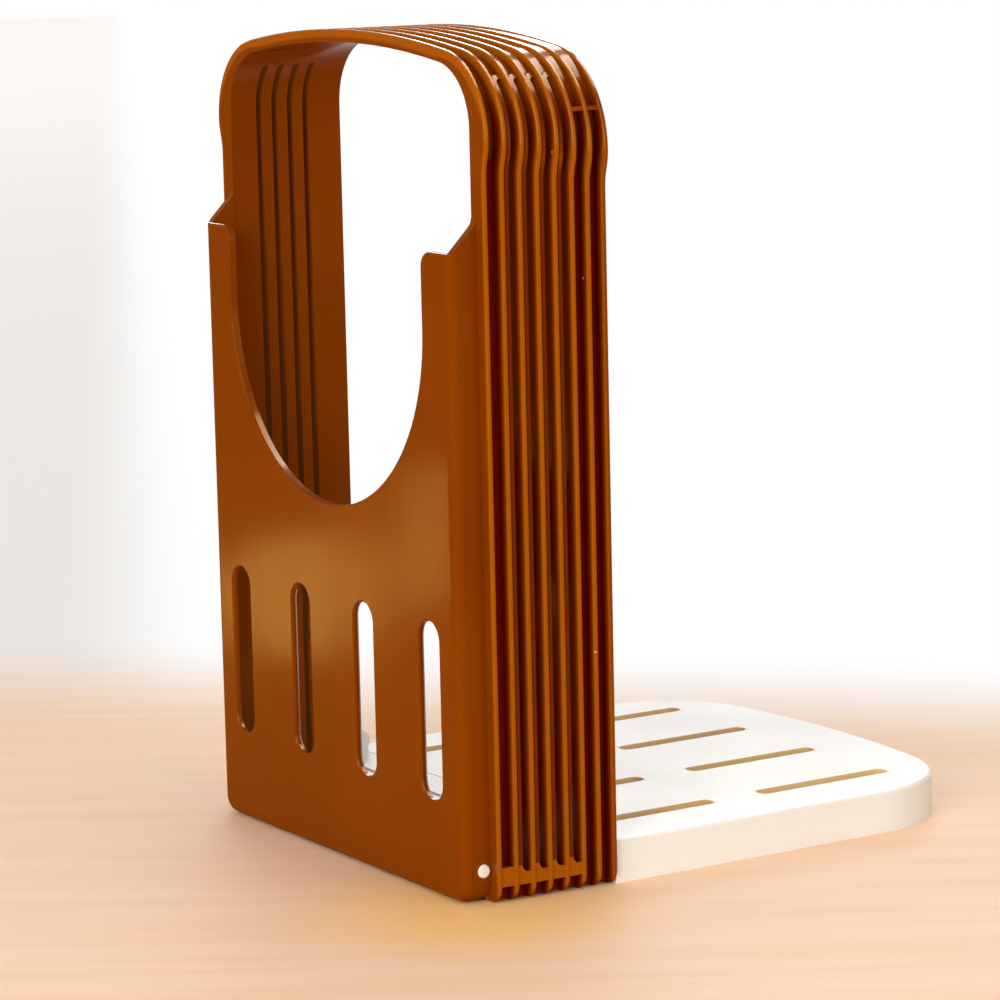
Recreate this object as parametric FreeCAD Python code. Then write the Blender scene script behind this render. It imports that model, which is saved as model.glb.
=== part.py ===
import FreeCAD, Part
import math
import os

from FreeCAD import Vector

# A bread slicer guide: a ribbed arch with knife slots in both sides, closed in front by a stop
# panel, with a white floor pinned inside it and a white loaf rest that folds up behind it.
# Millimetres. While it is built, x is across, y runs back from the panel's front face and z is
# up from the table. export() then moves everything so that the origin is under the middle.

# ---- Driving sizes: the arch ------------------------------------------------------------------
INNER_HALF_WIDTH = 59.5      # half of the space for the loaf, at the front of the arch
CLEAR_HEIGHT = 207.7         # table to the inside of the crown
CORNER_RADIUS = 15.8         # inside corners of the arch
CROWN_RISE = 3.4             # how far the crown rises above the corners
WALL = 2.0                   # the arch's skin at the sides
CROWN_WALL = 1.2             # and at the crown
DRAFT = 0.048                # the arch widens all round by this much for each mm to the rear
WALL_LIFT = 0.6              # the skin ends this far above the table, between the ribs' feet

# ---- Driving sizes: the ribs round the arch ---------------------------------------------------
FIRST_RIB_Y = 8.5            # middle of the first rib, behind the panel's front face
SLICE_PITCH = 4.8            # rib to rib where knives run: each step adds this much to a slice
REAR_PITCH = 4.4             # rib to rib behind the last knife slot
GUIDE_COUNT = 4              # knife slots a side
REAR_CHANNELS = 2            # plain channels behind them
RIB_THICKNESS = 1.2
RIB_DEPTH = 3.55             # how far a rib stands out of the straight wall
RIB_CROWN_Z = 210.9          # top of the ribs
RIB_CORNER_RADIUS = 21.1     # of the first rib
RIB_CORNER_GROWTH = 0.12     # more by this for each mm to the rear
RIB_CROWN_RISE = 3.6
RIB_EDGE = 0.3               # bevel along the ribs' edges
SHOULDER_BULGE = 1.45        # the ribs swell out by this much at the shoulders
SHOULDER_LENGTH = 9.0        # over this height
FOOT_RADIUS = 4.0            # outer corner of each rib's foot

# ---- Driving sizes: knife slots, their rims, the notched bars and the rear webs ---------------
KNIFE_GAP = 1.8
KNIFE_TOP_Z = 200.0          # upper end of the knife slots
RIM_THICKNESS = 1.0          # raised rim in front of and above each slot
RIM_SETBACK = 1.5            # the rim stops this far inside the ribs' edges
RIM_RADIUS = 1.9
BAR_BOTTOM_Z = 4.2
BAR_TOP_Z = 9.0
NOTCH_RADIUS = 1.7           # notches in the bar that stop the knife
WEB_Z = 192.3                # thin webs across the rear channels
WEB_THICKNESS = 1.0

# ---- Driving sizes: the stop panel and its tray -----------------------------------------------
PANEL_THICKNESS = 2.1
TRAY_WALL = 2.2              # side wings and bottom lip; their outsides are flush with the skin
TRAY_LIFT = 0.25             # tray's bottom edge above the table
TRAY_EDGE_RADIUS = 2.6       # rounding round the panel's front
TRAY_CORNER_RADIUS = 4.5
TRAY_INNER_RADIUS = 0.8      # inside of the same two lower corners
EAR_TOP_Z = 159.4            # flat tops left and right of the finger cut-out
EAR_WIDTH = 13.2
EAR_DEPTH = 1.1              # the side wings start to rise behind this
EAR_CORNER_RADIUS = 3.8
WING_TOP_Z = 167.5           # where the wings meet the first rib
WING_BLEND_RADIUS = 3.0      # with this sweep
CUTOUT_SPRING_Z = 140.1      # the cut-out is straight above this and half round below
CUT_EDGE_RADIUS = 0.5        # rounding along the cut-out's edge
SLOT_EDGE = 0.45             # bevel along the panel slots' front edges
SLOT_REAR_EDGE = 0.8         # and along their rear edges
SLOT_PITCH = 31.85           # columns of slots, in the panel and in the loaf rest
SLOT_COLUMNS = 4
PANEL_SLOT_WIDTH = 9.5
PANEL_SLOT_LENGTH = 44.7
PANEL_SLOT_Z = 24.2          # lower end of the panel's slots

# ---- Driving sizes: the white floor and its pins ----------------------------------------------
FLOOR_TOP_Z = 11.4           # the loaf lies at this height, inside the arch and behind it
FLOOR_SKIN = 2.2
FLOOR_SKIRT = 2.0
FLOOR_LIFT = 0.4             # underside above the table
SEAT_GAP = 0.3               # room round the floor
GROOVE_DEPTH = 4.4           # knife grooves in the floor, deeper than the notches
GROOVE_WALL = 1.2
PIN_RADIUS = 1.7
PIN_GAP = 0.05               # radial clearance of every pin
PIN_Y = 5.8
PIN_Z = 8.2
PIN_PROUD = 0.3              # white pin ends show outside the tray
PIN_REACH = 6.0              # how far a floor pin reaches into the floor's boss
BOSS_WALL = 1.9
PAD_RADIUS = 3.2             # thin round pad outside, about the pin
PAD_HEIGHT = 0.3

# ---- Driving sizes: the hinge and the folding loaf rest ---------------------------------------
HINGE_RADIUS = 1.5
HINGE_WALL = 1.7             # material round the hinge pins
HINGE_SINK = 1.4             # how deep a hinge pin sits in the arch's wall
LUG_THICKNESS = 2.4          # the floor's lugs and the rest's ears
LUG_GAP = 0.4                # side play between wall, ear and lug
HEAD_RADIUS = 2.5
HEAD_THICKNESS = 0.8
FOLD_GAP = 0.5               # folded rest to the back of the arch
REST_GAP = 0.3               # rest to the arch and floor when it lies flat
REST_HALF_WIDTH = 65.3
REST_LENGTH = 118.1
REST_CORNER_RADIUS = 30.0
REST_REAR_CROWN = 2.7        # how far the rear edge bows out
REST_TOP_RADIUS = 1.4
REST_SKIN = 2.4
REST_SKIRT = 2.2
REST_RIB = 1.6
REST_RIB_DEPTH = 4.5
REST_SLOT_WIDTH = 4.9
REAR_SLOT_START = 56.4       # behind the rest's front edge
REAR_SLOT_LENGTH = 41.7
FRONT_SLOT_START = 6.3
FRONT_SLOT_LENGTH = 35.5
EAR_REACH_DOWN = 9.0         # the ears' webs reach this far below the hinge

# ---- Worked out from the driving sizes --------------------------------------------------------
WALL_HALF_WIDTH = INNER_HALF_WIDTH + WALL
RIB_HALF_WIDTH = WALL_HALF_WIDTH + RIB_DEPTH
TRAY_HALF_WIDTH = WALL_HALF_WIDTH
TRAY_INNER_HALF_WIDTH = TRAY_HALF_WIDTH - TRAY_WALL
CUTOUT_HALF_WIDTH = TRAY_HALF_WIDTH - EAR_WIDTH
GUIDE_RIBS = GUIDE_COUNT + 2
RIB_Y = [FIRST_RIB_Y + SLICE_PITCH * i for i in range(GUIDE_RIBS)]
RIB_Y += [RIB_Y[-1] + REAR_PITCH * (i + 1) for i in range(REAR_CHANNELS)]
ARCH_FRONT_Y = RIB_Y[0] - RIB_THICKNESS / 2
ARCH_REAR_Y = RIB_Y[-1] + RIB_THICKNESS / 2
KNIFE_Y = [y - RIB_THICKNESS / 2 - KNIFE_GAP / 2 for y in RIB_Y[2:GUIDE_RIBS]]
SLOT_X = [SLOT_PITCH * (i - (SLOT_COLUMNS - 1) / 2) for i in range(SLOT_COLUMNS)]
BEYOND = 20.0                # cutters reach this far past what they cut

HINGE_Y = (RIB_Y[-2] + RIB_Y[-1]) / 2
HINGE_Z = ARCH_REAR_Y + FOLD_GAP + FLOOR_TOP_Z - HINGE_Y
HINGE_BOSS = HINGE_RADIUS + HINGE_WALL
HINGE_WALL_X = INNER_HALF_WIDTH + DRAFT * (HINGE_Y - HINGE_BOSS - ARCH_FRONT_Y)
EAR_OUTER_X = HINGE_WALL_X - LUG_GAP
EAR_INNER_X = EAR_OUTER_X - LUG_THICKNESS
LUG_OUTER_X = EAR_INNER_X - LUG_GAP
LUG_INNER_X = LUG_OUTER_X - LUG_THICKNESS
REST_FRONT_Y = ARCH_REAR_Y + REST_GAP
REST_REAR_Y = REST_FRONT_Y + REST_LENGTH
FLOOR_FRONT_Y = PANEL_THICKNESS + SEAT_GAP
FLOOR_REAR_Y = REST_FRONT_Y - REST_GAP - 0.1
ORIGIN_SHIFT = Vector(0, -REST_REAR_Y / 2, 0)


def extruded(edges, direction):
    """Solid made by moving the closed outline of the edges along the direction."""
    wire = Part.Wire(Part.__sortEdges__(edges))
    return Part.Face(wire).extrude(direction)


def line(start, end):
    return Part.LineSegment(start, end).toShape()


def arc(centre, radius, start_deg, end_deg, across, up):
    """Arc in the plane of two unit vectors, from one angle to another."""
    def at(degrees):
        a = math.radians(degrees)
        return centre + across * (radius * math.cos(a)) + up * (radius * math.sin(a))
    return Part.Arc(at(start_deg), at((start_deg + end_deg) / 2), at(end_deg)).toShape()


ACROSS, BACK, UP = Vector(1, 0, 0), Vector(0, 1, 0), Vector(0, 0, 1)


def box(x0, x1, y0, y1, z0, z1):
    return Part.makeBox(x1 - x0, y1 - y0, z1 - z0, Vector(x0, y0, z0))


def prism(plan, z0, z1):
    """Upright solid on a plan of x and y points."""
    points = [Vector(x, y, z0) for x, y in plan]
    return extruded([line(a, b) for a, b in zip(points, points[1:] + points[:1])], UP * (z1 - z0))


def rod(x0, x1, radius, y, z):
    """Round bar along x."""
    return Part.makeCylinder(radius, x1 - x0, Vector(x0, y, z), ACROSS)


def both_sides(shape):
    return [shape, shape.mirror(Vector(0, 0, 0), ACROSS)]


def fused(shapes):
    return shapes[0].multiFuse(shapes[1:]).removeSplitter()


def edges_at_y(shape, y):
    """Edges that lie in the plane of that y."""
    flat = []
    for edge in shape.Edges:
        bounds = edge.BoundBox
        if abs(bounds.YMin - y) < 1e-4 and abs(bounds.YMax - y) < 1e-4:
            flat.append(edge)
    return flat


# ---- Outlines ---------------------------------------------------------------------------------
def arch_outline(half_width, corner_radius, crown_rise, crown_z, foot_z,
                 bulge=0.0, bulge_length=0.0, foot_radius=0.0):
    """Edges of an arch in the plane y = 0: straight legs, round corners and a slightly bowed
    crown that meets the corners smoothly. With a bulge, the legs swell out below the corners."""
    shoulder = half_width + bulge
    corner_z = crown_z - crown_rise - corner_radius
    corner = Vector(shoulder - corner_radius, 0, corner_z)
    drop = crown_z - corner_z
    crown_radius = (corner.x ** 2 + drop ** 2 - corner_radius ** 2) / (2 * crown_rise)
    crown_centre = Vector(0, 0, crown_z - crown_radius)
    meet_deg = math.degrees(math.atan2(corner.z - crown_centre.z, corner.x))
    leg_top = Vector(half_width, 0, corner_z - bulge_length)
    leg_foot = Vector(half_width, 0, foot_z + foot_radius)

    right = [line(leg_foot, leg_top), arc(corner, corner_radius, 0, meet_deg, ACROSS, UP)]
    if bulge > 0:
        turn = 2 * math.atan(bulge / bulge_length)
        sway = bulge_length / (2 * math.sin(turn))
        turn_deg = math.degrees(turn)
        outside = Vector(half_width + sway, 0, leg_top.z)
        inside = Vector(shoulder - sway, 0, corner_z)
        right.append(arc(outside, sway, 180, 180 - turn_deg, ACROSS, UP))
        right.append(arc(inside, sway, -turn_deg, 0, ACROSS, UP))
    if foot_radius > 0:
        foot = Vector(half_width - foot_radius, 0, foot_z + foot_radius)
        right.append(arc(foot, foot_radius, -90, 0, ACROSS, UP))
    left = [edge.mirror(Vector(0, 0, 0), ACROSS) for edge in right]
    crown = arc(crown_centre, crown_radius, meet_deg, 180 - meet_deg, ACROSS, UP)
    toe = half_width - foot_radius
    sole = line(Vector(-toe, 0, foot_z), Vector(toe, 0, foot_z))
    return right + left + [crown, sole]


def arch_solid(outline, y0, y1):
    solid = extruded(outline, BACK * (y1 - y0))
    solid.translate(BACK * y0)
    return solid


def tapered_solid(outline_at, y0, y1):
    """Solid between two y positions, whose outline changes evenly from one to the other."""
    ends = []
    for y in (y0, y1):
        wire = Part.Wire(Part.__sortEdges__(outline_at(y)))
        wire.translate(BACK * y)
        ends.append(wire)
    return Part.makeLoft(ends, True, True)


def spread(y):
    """How far the draft has widened the arch at y."""
    return DRAFT * (y - ARCH_FRONT_Y)


def cavity_outline(y):
    """The arch's inside at y, open below."""
    return arch_outline(INNER_HALF_WIDTH + spread(y), CORNER_RADIUS + spread(y), CROWN_RISE,
                        CLEAR_HEIGHT + spread(y), -BEYOND)


def skin_outline(y):
    """The outside of the arch's skin at y."""
    return arch_outline(WALL_HALF_WIDTH + spread(y), CORNER_RADIUS + WALL + spread(y),
                        CROWN_RISE, CLEAR_HEIGHT + CROWN_WALL + spread(y), WALL_LIFT)


def rib_outline(y, setback=0.0):
    """The ribs' outer edge at y, drawn in by a setback."""
    corner_radius = RIB_CORNER_RADIUS + RIB_CORNER_GROWTH * (y - RIB_Y[0])
    return arch_outline(RIB_HALF_WIDTH + spread(y) - setback, corner_radius - setback,
                        RIB_CROWN_RISE, RIB_CROWN_Z - setback, 0.0,
                        SHOULDER_BULGE, SHOULDER_LENGTH, FOOT_RADIUS)


# ---- The arch: skin, ribs, rims, notched bars and webs ----------------------------------------
def rib(y):
    blank = arch_solid(rib_outline(y), y - RIB_THICKNESS / 2, y + RIB_THICKNESS / 2)
    rims = edges_at_y(blank, y - RIB_THICKNESS / 2) + edges_at_y(blank, y + RIB_THICKNESS / 2)
    return blank.makeChamfer(RIB_EDGE, rims)


def knife_profile(y, grow):
    """Side view of a knife slot, open below, with its front upper corner rounded.
    Grown forwards and upwards it is the slot's rim."""
    front = y - KNIFE_GAP / 2 - grow
    rear = y + KNIFE_GAP / 2
    top = KNIFE_TOP_Z + grow
    bottom = BAR_TOP_Z - NOTCH_RADIUS
    radius = RIM_RADIUS - RIM_THICKNESS + grow
    corner = Vector(0, front + radius, top - radius)
    return [line(Vector(0, front, bottom), Vector(0, front, top - radius)),
            arc(corner, radius, 180, 90, BACK, UP),
            line(Vector(0, front + radius, top), Vector(0, rear, top)),
            line(Vector(0, rear, top), Vector(0, rear, bottom)),
            line(Vector(0, rear, bottom), Vector(0, front, bottom))]


def side_cutter(profile):
    """A side profile moved across, from inside the arch's wall to past its ribs."""
    solid = extruded(profile, ACROSS * (WALL + RIB_DEPTH + CORNER_RADIUS + BEYOND))
    solid.translate(ACROSS * (INNER_HALF_WIDTH - CORNER_RADIUS))
    return solid


def rim(y):
    """Raised rim along the front and top of one knife slot, on the right."""
    front = y - KNIFE_GAP / 2 - RIM_THICKNESS
    rear = y + KNIFE_GAP / 2
    envelope = arch_solid(rib_outline(y, RIM_SETBACK), front, rear)
    return envelope.common(side_cutter(knife_profile(y, RIM_THICKNESS)))


def notched_bar():
    """Bar across the ribs' feet on the right, with a round notch under each knife slot."""
    first, last = RIB_Y[0], RIB_Y[GUIDE_RIBS - 1]
    edge = RIB_HALF_WIDTH - RIB_EDGE
    bar = prism([(INNER_HALF_WIDTH, first), (edge + spread(first), first),
                 (edge + spread(last), last), (INNER_HALF_WIDTH, last)], BAR_BOTTOM_Z, BAR_TOP_Z)
    notches = [rod(INNER_HALF_WIDTH, RIB_HALF_WIDTH + BEYOND, NOTCH_RADIUS, y, BAR_TOP_Z)
               for y in KNIFE_Y]
    return bar.cut(notches)


def web():
    """Thin web across the rear channels on the right, out to the ribs' edges."""
    first = RIB_Y[GUIDE_RIBS - 1]
    envelope = arch_solid(rib_outline(first, RIB_EDGE), first, RIB_Y[-1])
    slab = box(INNER_HALF_WIDTH - CORNER_RADIUS, RIB_HALF_WIDTH + BEYOND,
               first, RIB_Y[-1],
               WEB_Z - WEB_THICKNESS / 2, WEB_Z + WEB_THICKNESS / 2)
    return envelope.common(slab)


def arch():
    skin = tapered_solid(skin_outline, ARCH_FRONT_Y, ARCH_REAR_Y)
    pieces = [skin] + [rib(y) for y in RIB_Y]
    pieces += both_sides(notched_bar()) + both_sides(web())
    for y in KNIFE_Y:
        pieces += both_sides(rim(y))
    cavity = tapered_solid(cavity_outline, ARCH_FRONT_Y, ARCH_REAR_Y)
    knife_cuts = []
    for y in KNIFE_Y:
        knife_cuts += both_sides(side_cutter(knife_profile(y, 0.0)))
    return fused(pieces).cut([cavity] + knife_cuts)


# ---- The stop panel and its tray --------------------------------------------------------------
def tray_block(half_width, corner_radius, bottom_z, y0, y1):
    """Upright slab with its two lower corners rounded."""
    top_z = WING_TOP_Z
    x = half_width - corner_radius
    z = bottom_z + corner_radius
    edges = [line(Vector(-x, 0, bottom_z), Vector(x, 0, bottom_z)),
             arc(Vector(x, 0, z), corner_radius, -90, 0, ACROSS, UP),
             line(Vector(half_width, 0, z), Vector(half_width, 0, top_z)),
             line(Vector(half_width, 0, top_z), Vector(-half_width, 0, top_z)),
             line(Vector(-half_width, 0, top_z), Vector(-half_width, 0, z)),
             arc(Vector(-x, 0, z), corner_radius, 180, 270, ACROSS, UP)]
    return arch_solid(edges, y0, y1)


def wing_cutter():
    """What is above the tray: level over the ears, then a straight rise that sweeps up into the
    first rib."""
    start = Vector(0, EAR_DEPTH, EAR_TOP_Z)
    sweep = Vector(0, ARCH_FRONT_Y - WING_BLEND_RADIUS, WING_TOP_Z)
    reach = sweep - start
    rise = math.atan2(reach.z, reach.y) - math.asin(WING_BLEND_RADIUS / reach.Length)
    rise_deg = math.degrees(rise)
    meet = sweep + (BACK * math.sin(rise) - UP * math.cos(rise)) * WING_BLEND_RADIUS
    ceiling = WING_TOP_Z + BEYOND
    edges = [line(Vector(0, -BEYOND, EAR_TOP_Z), start),
             line(start, meet),
             arc(sweep, WING_BLEND_RADIUS, rise_deg - 90, 0, BACK, UP),
             line(Vector(0, ARCH_FRONT_Y, WING_TOP_Z), Vector(0, ARCH_FRONT_Y, ceiling)),
             line(Vector(0, ARCH_FRONT_Y, ceiling), Vector(0, -BEYOND, ceiling)),
             line(Vector(0, -BEYOND, ceiling), Vector(0, -BEYOND, EAR_TOP_Z))]
    half = TRAY_HALF_WIDTH + 2 * BEYOND
    solid = extruded(edges, ACROSS * (2 * half))
    solid.translate(ACROSS * -half)
    return solid


def finger_cutout():
    """Deep rounded cut-out between the panel's ears, and the space above the ears between the
    wings."""
    half = CUTOUT_HALF_WIDTH
    spring = CUTOUT_SPRING_Z
    bend = EAR_TOP_Z - EAR_CORNER_RADIUS
    wide = half + EAR_CORNER_RADIUS
    wing = TRAY_INNER_HALF_WIDTH
    ceiling = WING_TOP_Z + BEYOND
    edges = [arc(UP * spring, half, 180, 360, ACROSS, UP)]
    for side in (1, -1):
        outward = ACROSS * side
        edges += [line(outward * half + UP * spring, outward * half + UP * bend),
                  arc(outward * wide + UP * bend, EAR_CORNER_RADIUS, 180, 90, outward, UP),
                  line(outward * wide + UP * EAR_TOP_Z, outward * wing + UP * EAR_TOP_Z),
                  line(outward * wing + UP * EAR_TOP_Z, outward * wing + UP * ceiling)]
    edges.append(line(Vector(-wing, 0, ceiling), Vector(wing, 0, ceiling)))
    return arch_solid(edges, -BEYOND, PANEL_THICKNESS + 1e-3)


def slot_cutter(x, width, length, start, along, depth):
    """Round-ended slot from a start point along one direction, cut through a depth."""
    radius = width / 2
    first = ACROSS * x + along * (start + radius)
    last = ACROSS * x + along * (start + length - radius)
    edges = [line(first + ACROSS * radius, last + ACROSS * radius),
             arc(last, radius, 0, 180, ACROSS, along),
             line(last - ACROSS * radius, first - ACROSS * radius),
             arc(first, radius, 180, 360, ACROSS, along)]
    return extruded(edges, depth)


def panel_slots():
    cutters = []
    for x in SLOT_X:
        cutter = slot_cutter(x, PANEL_SLOT_WIDTH, PANEL_SLOT_LENGTH, PANEL_SLOT_Z, UP,
                             BACK * (PANEL_THICKNESS + 2 * BEYOND))
        cutter.translate(BACK * -BEYOND)
        cutters.append(cutter)
    return cutters


def top_profile():
    """Slab wider than the tray that has its finger cut-out, ears and wings, with one rounding
    along the front of the cut-out and the ears."""
    half = TRAY_HALF_WIDTH + BEYOND
    slab = box(-half, half, 0, ARCH_FRONT_Y, -BEYOND, WING_TOP_Z)
    slab = slab.cut([wing_cutter(), finger_cutout()])
    rims = [edge for edge in edges_at_y(slab, 0)
            if edge.BoundBox.ZMin > 0 and edge.BoundBox.ZMax < CUTOUT_SPRING_Z + 0.1]
    return slab.makeFillet(CUT_EDGE_RADIUS, rims)


def tray():
    """Stop panel with side wings and a bottom lip, open at the back into the arch."""
    block = tray_block(TRAY_HALF_WIDTH, TRAY_CORNER_RADIUS, TRAY_LIFT, 0, ARCH_FRONT_Y)
    block = block.makeFillet(TRAY_EDGE_RADIUS, [edge for edge in edges_at_y(block, 0)
                                                if edge.BoundBox.ZMin < WING_TOP_Z - 1])
    hollow = tray_block(TRAY_INNER_HALF_WIDTH, TRAY_INNER_RADIUS, TRAY_LIFT + TRAY_WALL,
                        PANEL_THICKNESS, ARCH_FRONT_Y + BEYOND)
    cut = block.common(top_profile()).cut([hollow] + panel_slots())
    slot_top = PANEL_SLOT_Z + PANEL_SLOT_LENGTH
    for y, bevel in ((0, SLOT_EDGE), (PANEL_THICKNESS, SLOT_REAR_EDGE)):
        slots = [edge for edge in edges_at_y(cut, y)
                 if edge.BoundBox.ZMin > PANEL_SLOT_Z - 0.1
                 and edge.BoundBox.ZMax < slot_top + 0.1]
        cut = cut.makeChamfer(bevel, slots)
    return cut


def guide_frame():
    """Arch and stop panel in one moulding, bored for the floor pins and the hinge pins."""
    pads = both_sides(rod(TRAY_INNER_HALF_WIDTH + TRAY_WALL / 2, TRAY_HALF_WIDTH + PAD_HEIGHT,
                          PAD_RADIUS, PIN_Y, PIN_Z))
    body = fused([arch(), tray()] + pads)
    holes = both_sides(rod(TRAY_INNER_HALF_WIDTH - 1, TRAY_HALF_WIDTH + BEYOND,
                           PIN_RADIUS + PIN_GAP, PIN_Y, PIN_Z))
    holes += both_sides(rod(HINGE_WALL_X - 1, HINGE_WALL_X + HINGE_SINK + PIN_GAP,
                            HINGE_RADIUS + PIN_GAP, HINGE_Y, HINGE_Z))
    return body.cut(holes)


# ---- The white floor inside the arch ----------------------------------------------------------
def floor_blank(inset, toe_z, z0, z1):
    """The floor's plan: narrow where it sits on the tray's lip, wide in the arch, and stepped
    in at the rear corners where the rest's ears swing. The toe on the lip starts at toe_z."""
    step_y = ARCH_FRONT_Y + SEAT_GAP
    notch_y = HINGE_Y - HINGE_BOSS - LUG_GAP
    narrow = TRAY_INNER_HALF_WIDTH - SEAT_GAP - inset
    neck = LUG_OUTER_X - inset
    wide = INNER_HALF_WIDTH - SEAT_GAP - inset
    plan = [(side * (wide + spread(y)), y)
            for side, y in ((1, step_y + inset), (1, notch_y - inset),
                            (-1, notch_y - inset), (-1, step_y + inset))]
    parts = [box(-narrow, narrow, FLOOR_FRONT_Y + inset, step_y + 2 * inset, toe_z, z1),
             prism(plan, z0, z1),
             box(-neck, neck, notch_y - inset - 1, FLOOR_REAR_Y - inset, z0, z1)]
    return fused(parts)


def knuckle(x0, x1, z_low, y_low, y_high):
    """Upright lug with a round head about the hinge line."""
    head = rod(x0, x1, HINGE_BOSS, HINGE_Y, HINGE_Z)
    post = box(x0, x1, y_low, y_high, z_low, HINGE_Z)
    return fused([head, post])


def floor_insert():
    """Hollow white floor with four knife grooves, pin bosses in front and hinge lugs behind."""
    skin_z = FLOOR_TOP_Z - FLOOR_SKIN
    lip_z = TRAY_LIFT + TRAY_WALL + SEAT_GAP
    shell = floor_blank(0.0, lip_z, FLOOR_LIFT, FLOOR_TOP_Z)
    shell = shell.cut(floor_blank(FLOOR_SKIRT, -BEYOND, -BEYOND, skin_z))
    groove_z = FLOOR_TOP_Z - GROOVE_DEPTH
    troughs = []
    grooves = []
    for y in KNIFE_Y:
        half = INNER_HALF_WIDTH + spread(y) - SEAT_GAP - FLOOR_SKIRT
        front, rear = y - KNIFE_GAP / 2, y + KNIFE_GAP / 2
        troughs.append(box(-half, half, front - GROOVE_WALL, rear + GROOVE_WALL,
                           groove_z - GROOVE_WALL, FLOOR_TOP_Z))
        grooves.append(box(-half - BEYOND, half + BEYOND, front, rear,
                           groove_z, FLOOR_TOP_Z + BEYOND))
    boss_inner = TRAY_INNER_HALF_WIDTH - SEAT_GAP - PIN_REACH - BOSS_WALL
    boss_outer = TRAY_INNER_HALF_WIDTH - SEAT_GAP
    boss_y = FLOOR_FRONT_Y + FLOOR_SKIRT
    bosses = both_sides(box(boss_inner, boss_outer, FLOOR_FRONT_Y, boss_y + 2 * BOSS_WALL,
                            PIN_Z - PIN_RADIUS - BOSS_WALL, FLOOR_TOP_Z))
    lugs = both_sides(knuckle(LUG_INNER_X, LUG_OUTER_X, FLOOR_TOP_Z - FLOOR_SKIN,
                              HINGE_Y - HINGE_BOSS, FLOOR_REAR_Y))
    holes = both_sides(rod(TRAY_INNER_HALF_WIDTH - SEAT_GAP - PIN_REACH,
                           TRAY_INNER_HALF_WIDTH + BEYOND, PIN_RADIUS + PIN_GAP, PIN_Y, PIN_Z))
    holes += both_sides(rod(LUG_INNER_X - 1, LUG_OUTER_X + 1, HINGE_RADIUS + PIN_GAP,
                            HINGE_Y, HINGE_Z))
    return fused([shell] + troughs + bosses + lugs).cut(grooves + holes)


def floor_pin():
    """Right-hand pin from the tray's wall into the floor, its outer end bevelled."""
    end = TRAY_HALF_WIDTH + PAD_HEIGHT + PIN_PROUD
    start = TRAY_INNER_HALF_WIDTH - SEAT_GAP - PIN_REACH + SEAT_GAP
    pin = rod(start, end, PIN_RADIUS, PIN_Y, PIN_Z)
    outer = [edge for edge in pin.Edges if edge.BoundBox.XMin > end - 1e-4]
    return pin.makeChamfer(PIN_PROUD, outer)


def hinge_pin():
    """Right-hand headed pin through the floor's lug and the rest's ear into the arch's wall."""
    shank = rod(LUG_INNER_X, HINGE_WALL_X + HINGE_SINK, HINGE_RADIUS, HINGE_Y, HINGE_Z)
    head = rod(LUG_INNER_X - HEAD_THICKNESS, LUG_INNER_X, HEAD_RADIUS, HINGE_Y, HINGE_Z)
    return fused([shank, head])


# ---- The folding loaf rest --------------------------------------------------------------------
def rest_outline(inset):
    """Plan of the rest at z = 0: square in front, large rear corners and a bowed rear edge."""
    half = REST_HALF_WIDTH - inset
    front = REST_FRONT_Y + inset
    rear = REST_REAR_Y - inset
    radius = REST_CORNER_RADIUS - inset
    corner = Vector(half - radius, rear - REST_REAR_CROWN - radius, 0)
    drop = rear - corner.y
    bow_radius = (corner.x ** 2 + drop ** 2 - radius ** 2) / (2 * REST_REAR_CROWN)
    bow_centre = Vector(0, rear - bow_radius, 0)
    meet_deg = math.degrees(math.atan2(corner.y - bow_centre.y, corner.x))
    right = [line(Vector(half, front, 0), Vector(half, corner.y, 0)),
             arc(corner, radius, 0, meet_deg, ACROSS, BACK)]
    left = [edge.mirror(Vector(0, 0, 0), ACROSS) for edge in right]
    bow = arc(bow_centre, bow_radius, meet_deg, 180 - meet_deg, ACROSS, BACK)
    return right + left + [bow, line(Vector(-half, front, 0), Vector(half, front, 0))]


def rest_slots():
    cutters = []
    rows = ((FRONT_SLOT_START, FRONT_SLOT_LENGTH), (REAR_SLOT_START, REAR_SLOT_LENGTH))
    for start, length in rows:
        for x in SLOT_X:
            cutter = slot_cutter(x, REST_SLOT_WIDTH, length, REST_FRONT_Y + start, BACK,
                                 UP * (FLOOR_TOP_Z + 2 * BEYOND))
            cutter.translate(UP * -BEYOND)
            cutters.append(cutter)
    return cutters


def rest_ribs():
    """Stiffening ribs under the rest: one between each two columns and one between the rows."""
    low = FLOOR_TOP_Z - REST_SKIN - REST_RIB_DEPTH
    high = FLOOR_TOP_Z - REST_SKIN / 2
    rear = REST_REAR_Y - REST_SKIRT / 2
    ribs = []
    for a, b in zip(SLOT_X, SLOT_X[1:]):
        x = (a + b) / 2
        ribs.append(box(x - REST_RIB / 2, x + REST_RIB / 2, REST_FRONT_Y, rear, low, high))
    y = REST_FRONT_Y + (FRONT_SLOT_START + FRONT_SLOT_LENGTH + REAR_SLOT_START) / 2
    ribs.append(box(-REST_HALF_WIDTH, REST_HALF_WIDTH, y - REST_RIB / 2, y + REST_RIB / 2,
                    low, high))
    solid = extruded(rest_outline(REST_SKIRT / 2), UP * FLOOR_TOP_Z)
    return [piece.common(solid) for piece in ribs]


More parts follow.
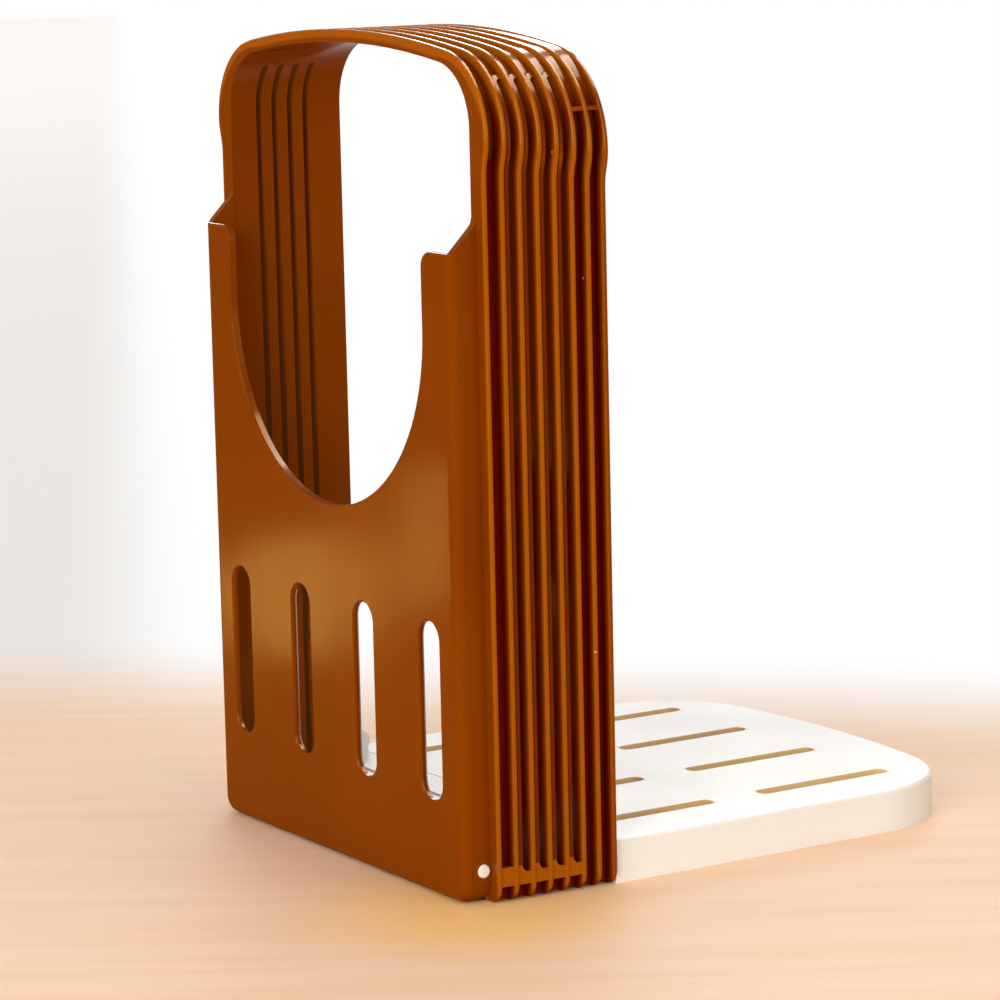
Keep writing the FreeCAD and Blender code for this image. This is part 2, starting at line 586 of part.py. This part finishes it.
def hinge_ear():
    """Right-hand ear that reaches forward from the rest to the hinge line."""
    low = HINGE_Z - EAR_REACH_DOWN
    head = rod(EAR_INNER_X, EAR_OUTER_X, HINGE_BOSS, HINGE_Y, HINGE_Z)
    web_start = HINGE_Y - HINGE_BOSS / 2
    outline = [Vector(EAR_INNER_X, web_start, low),
               Vector(EAR_INNER_X, REST_FRONT_Y + REST_SKIRT, low),
               Vector(EAR_INNER_X, REST_FRONT_Y + REST_SKIRT, FLOOR_TOP_Z - REST_SKIN),
               Vector(EAR_INNER_X, HINGE_Y + HINGE_BOSS * 0.8, HINGE_Z - HINGE_BOSS * 0.6),
               Vector(EAR_INNER_X, web_start, HINGE_Z)]
    edges = [line(a, b) for a, b in zip(outline, outline[1:] + outline[:1])]
    return fused([head, extruded(edges, ACROSS * LUG_THICKNESS)])


def loaf_rest():
    """White board behind the arch, hollow underneath, slotted, with two hinge ears."""
    block = extruded(rest_outline(0.0), UP * FLOOR_TOP_Z)
    top_rim = [edge for edge in block.Edges
               if edge.BoundBox.ZMin > FLOOR_TOP_Z - 1e-4
               and edge.BoundBox.YMax > REST_FRONT_Y + 1e-3]
    block = block.makeFillet(REST_TOP_RADIUS, top_rim)
    hollow = extruded(rest_outline(REST_SKIRT), UP * (FLOOR_TOP_Z - REST_SKIN + BEYOND))
    hollow.translate(UP * -BEYOND)
    shell = block.cut(hollow)
    body = fused([shell] + rest_ribs() + both_sides(hinge_ear()))
    holes = both_sides(rod(EAR_INNER_X - 1, EAR_OUTER_X + 1, HINGE_RADIUS + PIN_GAP,
                           HINGE_Y, HINGE_Z))
    return body.cut(rest_slots() + holes)


def export(name, shape):
    """Write one piece, placed so that the origin is on the table under the middle."""
    solid = shape.Solids[0] if len(shape.Solids) == 1 else shape
    solid = solid.copy()
    solid.translate(ORIGIN_SHIFT)
    solid.exportStep("parts/" + name + ".step")
    print(name, "solids", len(shape.Solids), "valid", shape.isValid(),
          "cm3", round(shape.Volume / 1000, 2))


def main():
    os.makedirs("parts", exist_ok=True)
    export("guide_frame", guide_frame())
    export("floor_insert", floor_insert())
    export("loaf_rest", loaf_rest())
    for name, shape in zip(("floor_pin_right", "floor_pin_left"), both_sides(floor_pin())):
        export(name, shape)
    for name, shape in zip(("hinge_pin_right", "hinge_pin_left"), both_sides(hinge_pin())):
        export(name, shape)


main()
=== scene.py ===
"""Finishes for a bread slicer guide's moulded pieces, and the table, lamps and camera round it."""

import bmesh
import bpy
from bpy.props import FloatProperty, FloatVectorProperty, PointerProperty
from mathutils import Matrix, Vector


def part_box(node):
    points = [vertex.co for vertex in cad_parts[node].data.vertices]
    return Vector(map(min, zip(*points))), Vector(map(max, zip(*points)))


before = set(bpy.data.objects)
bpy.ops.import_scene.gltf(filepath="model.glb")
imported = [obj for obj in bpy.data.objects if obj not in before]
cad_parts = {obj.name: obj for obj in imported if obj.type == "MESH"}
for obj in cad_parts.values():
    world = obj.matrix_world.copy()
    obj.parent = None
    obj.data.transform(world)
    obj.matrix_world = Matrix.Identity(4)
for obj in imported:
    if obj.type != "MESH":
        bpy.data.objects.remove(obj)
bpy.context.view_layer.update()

bl_info = {
    "name": "Bread slicer guide",
    "version": (1, 0, 0),
    "blender": (4, 5, 0),
    "location": "View3D > Sidebar > Bread Guide",
    "description": "Finishes a ribbed bread slicer guide and sets its table, lamps and camera",
    "category": "Object",
}

BROWN_PIECES = ("guide_frame",)
WHITE_PIECES = ("floor_insert", "loaf_rest")
PIN_PIECES = ("floor_pin_left", "floor_pin_right", "hinge_pin_left", "hinge_pin_right")
WHITE = (1.0, 1.0, 1.0, 1.0)

# ---- Places on the arch, in metres; a pair is where a change starts and where it ends ---------
ARCH_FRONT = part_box("guide_frame")[0][1] + 0.0079        # behind the stop panel's face
ARCH_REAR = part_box("guide_frame")[1][1]
ARCH_DRAFT = 0.048              # each side widens by this share of the way back
AT_ARCH = (ARCH_FRONT - 0.0004, ARCH_FRONT)
BEHIND_RIM = (ARCH_FRONT + 0.0009, ARCH_FRONT + 0.0013)
REAR_RIB = (ARCH_REAR - 0.0014, ARCH_REAR - 0.0008)
REAR_DULL = 0.8                 # share of the painted edge light that the rear rib loses
RIB_HALF_WIDTH = 0.06505        # at the arch's front, below the shoulder
RIB_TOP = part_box("guide_frame")[1][2]
RIB_CORNER = 0.0211
RIB_CROWN_RISE = 0.0036
RIB_EDGE = (0.0003, 0.0012)     # depths under the ribs' outer line of the painted edge light, as the channels' are
CROWN_EDGE = 0.0012             # the painted edge light runs this much deeper at the crown
# depths where the painted shade in the channels between the ribs starts and ends
CHANNEL_SIDE = (0.0006, 0.0024)
CHANNEL_FLOOR = (0.0040, 0.0046)
SHOULDER = (0.1772, 0.1862)     # heights, as the crown's are
SHOULDER_BULGE = 0.00145
CROWN = (0.189, 0.199)
DUST_SPECKS = ((0.0658, -0.05305, 0.1824), (0.0643, -0.04385, 0.1514),
               (0.0664, -0.0437, 0.0596))
SPECK_EDGE = (0.00015, 0.00035)  # distances from a speck's middle

# ---- The loaf rest's slots, in metres ---------------------------------------------------------
FLOOR_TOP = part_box("loaf_rest")[1][2]
UNDER_TOP = (FLOOR_TOP - 0.0004, FLOOR_TOP - 0.0001)
REST_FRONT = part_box("loaf_rest")[1][1] - 0.1181          # of its slotted top
SLOT_PITCH = 0.03185
SLOT_WIDTH = 0.0049
SLOT_SOFTNESS = 0.0003
SLOT_ROWS = ((REST_FRONT + 0.0063, REST_FRONT + 0.0418),
             (REST_FRONT + 0.0564, REST_FRONT + 0.0981))

# ---- Noise in the mouldings: scales are features a metre, spans are parts of the noise used ---
DRIFT_SCALE, DRIFT_DETAIL, DRIFT_SPAN = 18.0, 3.0, (0.3, 0.7)
SMUDGE_SCALE, SMUDGE_STRETCH, SMUDGE_SPAN = 30.0, (1.0, 1.0, 0.45), (0.35, 0.75)
SWELL_SCALE, SWELL_SHARE = 34.0, 0.9
PEBBLE_SCALE, PEBBLE_SHARE = 260.0, 0.1
RIPPLE_DETAIL = 1.0
RIPPLE_HEIGHT = 0.0006

# ---- The table and the room: a line is how much of X and of Y counts across it, and its span --
TABLE_HALF = 6.0
TABLE_ROUGHNESS = 0.6
TABLE_GLOSS = 0.09
GRAIN_SCALE, GRAIN_DETAIL, GRAIN_ROUGHNESS = 7.0, 4.0, 0.55
GRAIN_STRETCH = (1.0, 14.0, 1.0)
GRAIN_SPAN = (0.40, 0.62)
GRAIN_SHADE = (0.98, 0.94, 0.88)
# where painted warm light from the brown lies on the table, and how far it reaches
BOUNCE_PLACE = (0.067, -0.079, 0.0)
BOUNCE_REACH = (0.012, 0.056)
FADE_WAY = (-0.85, 0.88)        # its span is in the settings
FRONT_LINE = ((0.456, 1.0), (-0.37, -0.17))
WHITE_LINE = ((0.499, 1.0), (-0.165, -0.105))
FAR_LINE = ((-1.0, 0.0), (0.4, 3.7))
BRIGHT_LINE = ((-1.0, 1.0), (0.7, 1.2))

# ---- Lamps: name, place, size across and up, and the setting that holds the power -------------
LAMP_TARGET = (0.0, 0.0, 0.1)
CARD_TARGET = (0.0, -0.08, 0.075)
LAMPS = (("key_lamp", (0.6, -1.15, 0.55), (0.8, 0.8), "key_power"),
         ("side_lamp", (1.2, 0.2, 0.5), (0.9, 0.7), "side_power"),
         ("top_lamp", (-0.1, 0.1, 1.4), (1.0, 0.7), "top_power"))
GLINTS = (("window_glint", (0.0, 0.75, 1.15), (0.9, 0.7), "window_power"),
          ("rim_glint", (-0.85, 0.6, 0.72), (1.2, 0.6), "rim_power"))
CARDS = (("low_card", (-0.2265, -0.197, 0.021), (0.054, 0.040), "low_card_power"),
         ("tall_card", (-0.146, -0.197, 0.052), (0.014, 0.045), "tall_card_power"))
SENSOR_WIDTH = 36.0             # millimetres


# ---- Shader writing ---------------------------------------------------------------------------
class Value:
    """A socket of a shader node, with arithmetic that adds Math nodes."""

    def __init__(self, shader, socket):
        self.shader = shader
        self.socket = socket

    def maths(self, operation, *others):
        return self.shader.add("ShaderNodeMath", {"operation": operation},
                               dict(enumerate((self, *others))))[0]

    def __add__(self, other):
        return self.maths("ADD", other)

    __radd__ = __add__

    def __mul__(self, other):
        return self.maths("MULTIPLY", other)

    __rmul__ = __mul__

    def __sub__(self, other):
        return self.maths("SUBTRACT", other)

    def __rsub__(self, other):
        return (self * -1.0).maths("ADD", other)

    def __pow__(self, other):
        return self.maths("POWER", other)

    def between(self, low, high):
        """0 at low and under, 1 at high and over, with a smooth change."""
        node = self.shader.add("ShaderNodeMapRange", {"interpolation_type": "SMOOTHSTEP"},
                               {"Value": self, "From Min": low, "From Max": high})
        return node["Result"]


class Added:
    """A shader node, whose outputs are read as values by name or place."""

    def __init__(self, shader, node):
        self.shader = shader
        self.node = node

    def __getitem__(self, key):
        return Value(self.shader, self.node.outputs[key])


class Shader:
    """The node tree of one finish, or of the room round the table."""

    def __init__(self, name, room=False):
        self.holder = (bpy.data.worlds if room else bpy.data.materials).new(name)
        self.output = "ShaderNodeOutputWorld" if room else "ShaderNodeOutputMaterial"
        self.holder.use_nodes = True
        self.tree = self.holder.node_tree
        self.tree.nodes.clear()

    def add(self, kind, settings=None, sockets=None):
        """Add a node: its settings first, then the values or links of its sockets."""
        node = self.tree.nodes.new(kind)
        for name, setting in (settings or {}).items():
            setattr(node, name, setting)
        for name, given in (sockets or {}).items():
            if isinstance(given, Value):
                self.tree.links.new(given.socket, node.inputs[name])
            else:
                node.inputs[name].default_value = given
        return Added(self, node)

    def place(self):
        """Where a point is, in the object's own metres."""
        return self.add("ShaderNodeTexCoord")["Object"]

    def parts(self, place):
        """X, Y and Z of a place or a direction."""
        return self.add("ShaderNodeSeparateXYZ", {}, {"Vector": place})

    def distance(self, place, point):
        """How far a place is from a fixed point."""
        return self.add("ShaderNodeVectorMath", {"operation": "DISTANCE"},
                        {0: place, 1: point})["Value"]

    def noise(self, scale, detail=2.0, stretch=(1.0, 1.0, 1.0), roughness=0.5, place=None):
        """Noise from 0 to 1; scale is features a metre."""
        mapped = self.add("ShaderNodeMapping", {},
                          {"Vector": place or self.place(), "Scale": stretch})["Vector"]
        return self.add("ShaderNodeTexNoise", {}, {"Vector": mapped, "Scale": scale,
                                                   "Detail": detail, "Roughness": roughness})[0]

    def mix(self, factor, first, second):
        """Colour between two colours or colour links."""
        node = self.add("ShaderNodeMix", {"data_type": "RGBA"}, {0: factor, 6: first, 7: second})
        return node[2]

    def mirrored(self):
        """1 for what is seen in gloss, and 0 for all else."""
        return self.add("ShaderNodeLightPath")["Is Glossy Ray"]

    def seen_or_mirrored(self):
        """1 for what the camera sees, straight, mirrored or through glass, and 0 for light."""
        ray = self.add("ShaderNodeLightPath")
        seen = ray["Is Camera Ray"].maths("MAXIMUM", ray["Is Glossy Ray"])
        return seen.maths("MAXIMUM", ray["Is Transmission Ray"])

    def bump(self, height, strength, distance):
        return self.add("ShaderNodeBump", {}, {"Height": height, "Strength": strength,
                                               "Distance": distance})["Normal"]

    def mix_surfaces(self, factor, first, second):
        return self.add("ShaderNodeMixShader", {}, {0: factor, 1: first, 2: second})[0]

    def finish(self, surface):
        self.add(self.output, {}, {"Surface": surface})
        return self.holder


def rgba(colour):
    return (*colour, 1.0)


def past_line(parts, way, span):
    """0 before a soft line, seen from above, and 1 past it."""
    return (parts["X"] * way[0] + parts["Y"] * way[1]).between(*span)


# ---- Finishes of the mouldings ----------------------------------------------------------------
def plain_drift(shader, settings):
    """Base colour of a moulding: its colour drifting slowly into its shade."""
    drift = shader.noise(DRIFT_SCALE, DRIFT_DETAIL).between(*DRIFT_SPAN)
    return shader.mix(drift, rgba(settings.shade), rgba(settings.colour))


def rib_depth(parts):
    """How deep a place lies under the ribs' outer line, which goes up the sides, steps out at
    the shoulder, turns at the corners and bows over the crown."""
    half = (parts["Y"] - ARCH_FRONT) * ARCH_DRAFT + RIB_HALF_WIDTH
    half = half + parts["Z"].between(*SHOULDER) * SHOULDER_BULGE
    across = parts["X"].maths("ABSOLUTE")
    level = RIB_HALF_WIDTH - RIB_CORNER
    bow = (across * (1.0 / level)).maths("MINIMUM", 1.0) ** 2.0 * RIB_CROWN_RISE
    side = (across - half + RIB_CORNER).maths("MAXIMUM", 0.0)
    top = (parts["Z"] + bow - (RIB_TOP - RIB_CORNER)).maths("MAXIMUM", 0.0)
    return RIB_CORNER - (side * side + top * top) ** 0.5


def ribbed_colour(shader, settings):
    """Brown with painted light at the ribs' thin edges, as though light came through them, painted
    shade deep in the channels between them, and a few specks of dust."""
    colour = plain_drift(shader, settings)
    place = shader.place()
    parts = shader.parts(place)
    depth = rib_depth(parts)
    crown = parts["Z"].between(*CROWN)
    # painted shade: the channels between the ribs are drawn darker and redder
    channel_shade = depth.between(*CHANNEL_SIDE) * (1.0 - depth.between(*CHANNEL_FLOOR))
    channel_shade = channel_shade * parts["Y"].between(*BEHIND_RIM) * (1.0 - crown)
    # painted light: the ribs' thin edges are drawn lighter, as though light came through them
    edge = 1.0 - (depth - crown * CROWN_EDGE).between(*RIB_EDGE)
    edge = edge * parts["Y"].between(*AT_ARCH)
    edge = edge * (1.0 - parts["Y"].between(*REAR_RIB) * REAR_DULL)
    colour = shader.mix(channel_shade * settings.painted_channel_shade, colour, rgba(settings.painted_channel_shade_colour))
    colour = shader.mix(edge * settings.painted_edge_light, colour, rgba(settings.painted_edge_light_colour))
    for speck in DUST_SPECKS:
        dust = 1.0 - shader.distance(place, speck).between(*SPECK_EDGE)
        colour = shader.mix(dust * settings.dust, colour, rgba(settings.dust_colour))
    return colour


def within_slot(offset, half):
    """1 up to a slot's half width or half length from its middle, and 0 just past it."""
    return 1.0 - offset.maths("ABSOLUTE").between(half, half + SLOT_SOFTNESS)


def slotted_colour(shader, settings):
    """White with painted warm light on the slots' side walls, as though thrown up from the table
    under them.
    """
    colour = plain_drift(shader, settings)
    parts = shader.parts(shader.place())
    column = (parts["X"].maths("ABSOLUTE") - SLOT_PITCH).maths("ABSOLUTE") - SLOT_PITCH / 2
    below = 1.0 - parts["Z"].between(*UNDER_TOP)
    front, rear = (within_slot(parts["Y"] - (start + end) / 2, (end - start) / 2)
                   for start, end in SLOT_ROWS)
    slots = within_slot(column, SLOT_WIDTH / 2) * below * (front + rear)
    # painted light: the slots' side walls are drawn warm, as though lit from the table under them
    return shader.mix(slots * settings.painted_slot_bounce, colour, rgba(settings.painted_slot_bounce_colour))


def moulded_plastic(name, settings, colouring):
    """Glossy injection-moulded plastic: a faint drift of colour, smudges that dull the gloss,
    and the slow ripple of a moulded face."""
    shader = Shader(name)
    smudge = shader.noise(SMUDGE_SCALE, stretch=SMUDGE_STRETCH).between(*SMUDGE_SPAN)
    ripple = (shader.noise(SWELL_SCALE, RIPPLE_DETAIL) * SWELL_SHARE
              + shader.noise(PEBBLE_SCALE, RIPPLE_DETAIL) * PEBBLE_SHARE)
    plastic = shader.add("ShaderNodeBsdfPrincipled", {}, {
        "Base Color": colouring(shader, settings),
        "Roughness": smudge * settings.smudge + settings.roughness,
        "Normal": shader.bump(ripple, settings.ripple, RIPPLE_HEIGHT),
        "IOR": settings.ior, "Specular IOR Level": settings.specular,
        "Specular Tint": rgba(settings.tint)})
    return shader.finish(plastic["BSDF"])


def dress(nodes, material):
    """Give CAD nodes their material and their slot of the record."""
    for name in nodes:
        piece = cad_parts[name]
        if not piece.material_slots:
            piece.data.materials.append(material)
        for material_slot in piece.material_slots:
            material_slot.material = material


# ---- Table, room, lamps and camera ------------------------------------------------------------
def table_finish(settings):
    """Pale wood with painted warm light at the guide's foot, as though thrown by the brown, deeper
    where it is mirrored, that fades to plain white behind the guide and to grey on the left."""
    shader = Shader("pale_table")
    place = shader.place()
    parts = shader.parts(place)
    turned = shader.add("ShaderNodeMapping", {}, {
        "Vector": place, "Rotation": (0.0, 0.0, settings.grain_turn)})["Vector"]
    grain = shader.noise(GRAIN_SCALE, GRAIN_DETAIL, GRAIN_STRETCH, GRAIN_ROUGHNESS, turned)
    deep = [part * share for part, share in zip(settings.table_colour, GRAIN_SHADE)]
    wood = shader.mix(grain.between(*GRAIN_SPAN), rgba(settings.table_colour), rgba(deep))
    # painted light: the table is drawn warm round the guide's foot, as though lit by the brown
    painted_foot_bounce = 1.0 - shader.distance(place, BOUNCE_PLACE).between(*BOUNCE_REACH)
    wood = shader.mix(painted_foot_bounce, wood, rgba(settings.painted_foot_bounce_colour))
    wood = shader.mix(shader.mirrored(), wood, rgba(settings.mirrored_colour))
    surface = shader.add("ShaderNodeBsdfPrincipled", {}, {
        "Base Color": wood, "Roughness": TABLE_ROUGHNESS, "Specular IOR Level": TABLE_GLOSS})
    fade = past_line(parts, FADE_WAY, (settings.fade_start, settings.fade_end))
    fade = fade * past_line(parts, *FRONT_LINE)
    grey = shader.mix(past_line(parts, *FAR_LINE), rgba(settings.grey_near),
                      rgba(settings.grey_far))
    paper = shader.mix(past_line(parts, *WHITE_LINE), grey, WHITE)
    white = shader.add("ShaderNodeEmission", {}, {"Color": paper})
    return shader.finish(shader.mix_surfaces(fade * shader.seen_or_mirrored(),
                                             surface["BSDF"], white["Emission"]))


def backdrop(settings):
    """White to the eye, a dim warm room with one bright corner in gloss, and a soft light to
    all else."""
    shader = Shader("soft_room", room=True)
    parts = shader.parts(shader.add("ShaderNodeTexCoord")["Generated"])
    gloss = shader.mix(past_line(parts, *BRIGHT_LINE), rgba(settings.mirrored_room), WHITE)
    paper = shader.mix(shader.mirrored(), WHITE, gloss)
    seen = shader.add("ShaderNodeBackground", {}, {"Color": paper})
    room = shader.add("ShaderNodeBackground", {}, {"Color": rgba(settings.surround)})
    bpy.context.scene.world = shader.finish(shader.mix_surfaces(
        shader.seen_or_mirrored(), room["Background"], seen["Background"]))


def flat_sheet(name, half, material):
    """Square sheet of the stage, level with the guide's feet."""
    shape = bmesh.new()
    bmesh.ops.create_grid(shape, x_segments=1, y_segments=1, size=half)
    mesh = bpy.data.meshes.new(name)
    shape.to_mesh(mesh)
    shape.free()
    mesh.materials.append(material)
    sheet = bpy.data.objects.new(name, mesh)
    bpy.context.scene.collection.objects.link(sheet)


def lamp(name, place, target, size, power, colour=(1.0, 1.0, 1.0), shape="RECTANGLE"):
    """Soft lamp at a place, facing a target; size is across and up."""
    light = bpy.data.lights.new(name, "AREA")
    light.shape = shape
    light.size, light.size_y = size
    light.energy = power
    light.color = colour
    thing = bpy.data.objects.new(name, light)
    thing.location = place
    thing.visible_camera = False
    thing.rotation_euler = (Vector(target) - Vector(place)).to_track_quat("-Z", "Y").to_euler()
    bpy.context.scene.collection.objects.link(thing)
    return thing


def glint(*lamp_facts):
    """Lamp that shows in glossy reflections and nowhere else."""
    thing = lamp(*lamp_facts)
    thing.visible_diffuse = False
    thing.visible_transmission = False


def camera(settings):
    lens = bpy.data.cameras.new("camera")
    lens.lens = settings.camera_lens
    lens.sensor_width = SENSOR_WIDTH
    thing = bpy.data.objects.new("camera", lens)
    thing.location = settings.camera_place
    thing.rotation_euler = settings.camera_turn
    bpy.context.scene.collection.objects.link(thing)
    bpy.context.scene.camera = thing


# ---- Sizes and colours that a user would change -----------------------------------------------
def colour_property(name, description, default):
    return FloatVectorProperty(name=name, description=description, default=default,
                               subtype="COLOR", size=3, min=0.0, max=1.0)


def share_property(name, description, default):
    return FloatProperty(name=name, description=description, default=default,
                         min=0.0, max=1.0, subtype="FACTOR")


def power_property(name, description, default):
    return FloatProperty(name=name, description=description, default=default,
                         min=0.0, unit="POWER")


class BrownPlastic(bpy.types.PropertyGroup):
    """Finish of the ribbed arch and its stop panel."""
    colour: colour_property("Colour", "Brown of the moulding", (0.238, 0.047, 0.0004))
    shade: colour_property("Shade", "Darker brown that drifts into it", (0.216, 0.040, 0.0003))
    # painted light: a lighter brown drawn on the ribs' thin edges, as though light came through
    # them
    painted_edge_light_colour: colour_property("Edges", "Lighter brown painted on the ribs' thin edges as light", (0.40, 0.105, 0.002))
    painted_edge_light: share_property("Edge glow", "How much of that brown shows there", 0.8)
    # painted shade: a darker, redder brown drawn deep in the channels between the ribs
    painted_channel_shade_colour: colour_property("Channels", "Painted shade deep between the ribs",
                                    (0.165, 0.006, 0.0001))
    painted_channel_shade: share_property("Channel depth", "How much of that brown shows there", 0.95)
    dust_colour: colour_property("Dust", "Colour of the dust", (0.80, 0.72, 0.62))
    dust: share_property("Dust specks", "How strongly the specks of dust show", 0.8)
    roughness: share_property("Roughness", "Roughness where nothing dulls it", 0.15)
    smudge: share_property("Smudges", "How much smudges add to the roughness", 0.05)
    ripple: share_property("Ripple", "Strength of the moulded ripple", 0.25)
    specular: share_property("Reflection", "Strength of the plain reflection", 0.18)
    tint: colour_property("Reflection tint", "Colour of the plain reflection", (1.0, 0.66, 0.25))
    ior: FloatProperty(name="Index", description="Refractive index", default=1.5, min=1.0)


class WhitePlastic(bpy.types.PropertyGroup):
    """Finish of the floor, the loaf rest and the pins."""
    colour: colour_property("Colour", "White of the moulding", (0.93, 0.93, 0.90))
    shade: colour_property("Shade", "Creamier white that drifts into it", (0.92, 0.91, 0.86))
    # painted light: a warm tone drawn on the slots' side walls, as though lit from the table under
    # them
    painted_slot_bounce_colour: colour_property("Slots", "Painted warm light from the table inside the slots", (1.0, 0.66, 0.26))
    painted_slot_bounce: share_property("Slot warmth", "How much of that tone shows there", 0.9)
    roughness: share_property("Roughness", "Roughness where nothing dulls it", 0.28)
    smudge: share_property("Smudges", "How much smudges add to the roughness", 0.12)
    ripple: share_property("Ripple", "Strength of the moulded ripple", 0.2)
    specular: share_property("Reflection", "Strength of the plain reflection", 0.15)
    tint: colour_property("Reflection tint", "Colour of the plain reflection", (1.0, 1.0, 1.0))
    ior: FloatProperty(name="Index", description="Refractive index", default=1.5, min=1.0)


class Stage(bpy.types.PropertyGroup):
    """Table, lamps and camera."""
    table_colour: colour_property("Table", "Colour of the table near the guide",
                                  (0.945, 0.655, 0.450))
    mirrored_colour: colour_property("Mirrored table", "Deeper colour of the table in gloss",
                                     (0.60, 0.31, 0.03))
    mirrored_room: colour_property("Mirrored room", "Colour of the room in gloss",
                                   (0.55, 0.33, 0.10))
    # painted light: warmth drawn on the table round the guide's foot, as though thrown by the
    # brown
    painted_foot_bounce_colour: colour_property("Table at the foot", "Painted warm light that the brown throws on the table",
                                 (1.0, 0.60, 0.24))
    grain_turn: FloatProperty(name="Grain turn", unit="ROTATION", default=-1.0,
                              description="How far the grain is turned from the X axis")
    fade_start: FloatProperty(name="Fade start", unit="LENGTH", default=0.09,
                              description="Where the wood starts to fade, behind and leftwards")
    fade_end: FloatProperty(name="Fade end", unit="LENGTH", default=0.26,
                            description="Where the wood is gone, behind and leftwards")
    key_power: power_property("Key", "Soft box in front", 10.7)
    side_power: power_property("Side", "Soft box to the right", 3.2)
    top_power: power_property("Top", "Soft box above the guide", 3.3)
    window_power: power_property("Window", "Glint of a window above and behind", 30.0)
    rim_power: power_property("Rim", "Glint of a window behind, to the left", 19.0)
    low_card_power: power_property("Low card", "Card mirrored across the stop panel", 0.019)
    tall_card_power: power_property("Tall card", "Narrow card mirrored beside the cut-out", 0.006)
    card_colour: colour_property("Card colour", "Colour of both cards", (1.0, 0.68, 0.17))
    grey_near: colour_property("Near grey", "Left of the table, close to the guide",
                               (0.823, 0.791, 0.768))
    grey_far: colour_property("Far grey", "Left of the table, far from the guide",
                              (0.965, 0.93, 0.905))
    surround: colour_property("Surround", "Soft light from all round", (0.44, 0.42, 0.39))
    camera_place: FloatVectorProperty(name="Camera place", subtype="TRANSLATION", unit="LENGTH",
                                      default=(0.82642, -0.54719, 0.24644),
                                      description="Where the camera stands")
    camera_turn: FloatVectorProperty(name="Camera turn", subtype="EULER", unit="ROTATION",
                                     default=(1.409139, 0.022049, 1.006776),
                                     description="How the camera is turned")
    camera_lens: FloatProperty(name="Lens", default=136.62, min=1.0, unit="CAMERA",
                               description="Focal length in millimetres on a 36 mm sensor")


# ---- Operators --------------------------------------------------------------------------------
class GUIDE_OT_brown_moulding(bpy.types.Operator):
    """Give the ribbed arch and its stop panel their glossy brown plastic"""
    bl_idname = "guide.brown_moulding"
    bl_label = "Brown moulding"

    def execute(self, context):
        material = moulded_plastic("glossy_brown_plastic", context.scene.guide_brown,
                                   ribbed_colour)
        dress(BROWN_PIECES, material)
        return {"FINISHED"}


class GUIDE_OT_white_mouldings(bpy.types.Operator):
    """Give the floor and the loaf rest their white plastic"""
    bl_idname = "guide.white_mouldings"
    bl_label = "White mouldings"

    def execute(self, context):
        material = moulded_plastic("white_plastic", context.scene.guide_white, slotted_colour)
        dress(WHITE_PIECES, material)
        return {"FINISHED"}


class GUIDE_OT_pins(bpy.types.Operator):
    """Give the floor pins and the hinge pins their white plastic"""
    bl_idname = "guide.pins"
    bl_label = "Pins"

    def execute(self, context):
        material = moulded_plastic("white_pin_plastic", context.scene.guide_white, plain_drift)
        dress(PIN_PIECES, material)
        return {"FINISHED"}


class GUIDE_OT_stage(bpy.types.Operator):
    """Set the table, the lamps and the camera"""
    bl_idname = "guide.stage"
    bl_label = "Table, lamps and camera"

    def execute(self, context):
        settings = context.scene.guide_stage
        flat_sheet("table", TABLE_HALF, table_finish(settings))
        backdrop(settings)
        for name, place, size, power in LAMPS:
            lamp(name, place, LAMP_TARGET, size, getattr(settings, power))
        for name, place, size, power in GLINTS:
            glint(name, place, LAMP_TARGET, size, getattr(settings, power))
        for name, place, size, power in CARDS:
            glint(name, place, CARD_TARGET, size, getattr(settings, power),
                  settings.card_colour, "ELLIPSE")
        camera(settings)
        context.scene.view_settings.view_transform = "Standard"
        return {"FINISHED"}


class GUIDE_PT_panel(bpy.types.Panel):
    """Lists the steps and their settings"""
    bl_idname = "GUIDE_PT_panel"
    bl_label = "Bread Slicer Guide"
    bl_space_type = "VIEW_3D"
    bl_region_type = "UI"
    bl_category = "Bread Guide"

    def draw(self, context):
        for operator in OPERATORS:
            self.layout.operator(operator.bl_idname)
        for name in SETTINGS:
            group = getattr(context.scene, name)
            part = self.layout.box()
            part.label(text=name.removeprefix("guide_").capitalize())
            for key in group.bl_rna.properties.keys():
                if key not in ("rna_type", "name"):
                    part.prop(group, key)


SETTINGS = {"guide_brown": BrownPlastic, "guide_white": WhitePlastic, "guide_stage": Stage}
OPERATORS = (GUIDE_OT_brown_moulding, GUIDE_OT_white_mouldings, GUIDE_OT_pins, GUIDE_OT_stage)
CLASSES = (*SETTINGS.values(), *OPERATORS, GUIDE_PT_panel)


def register():
    for cls in CLASSES:
        bpy.utils.register_class(cls)
    for name, group in SETTINGS.items():
        setattr(bpy.types.Scene, name, PointerProperty(type=group))


def unregister():
    for name in SETTINGS:
        delattr(bpy.types.Scene, name)
    for cls in reversed(CLASSES):
        bpy.utils.unregister_class(cls)


def main():
    register()
    for operator in OPERATORS:
        group, name = operator.bl_idname.split(".")
        getattr(getattr(bpy.ops, group), name)()


if __name__ == "__main__":
    main()
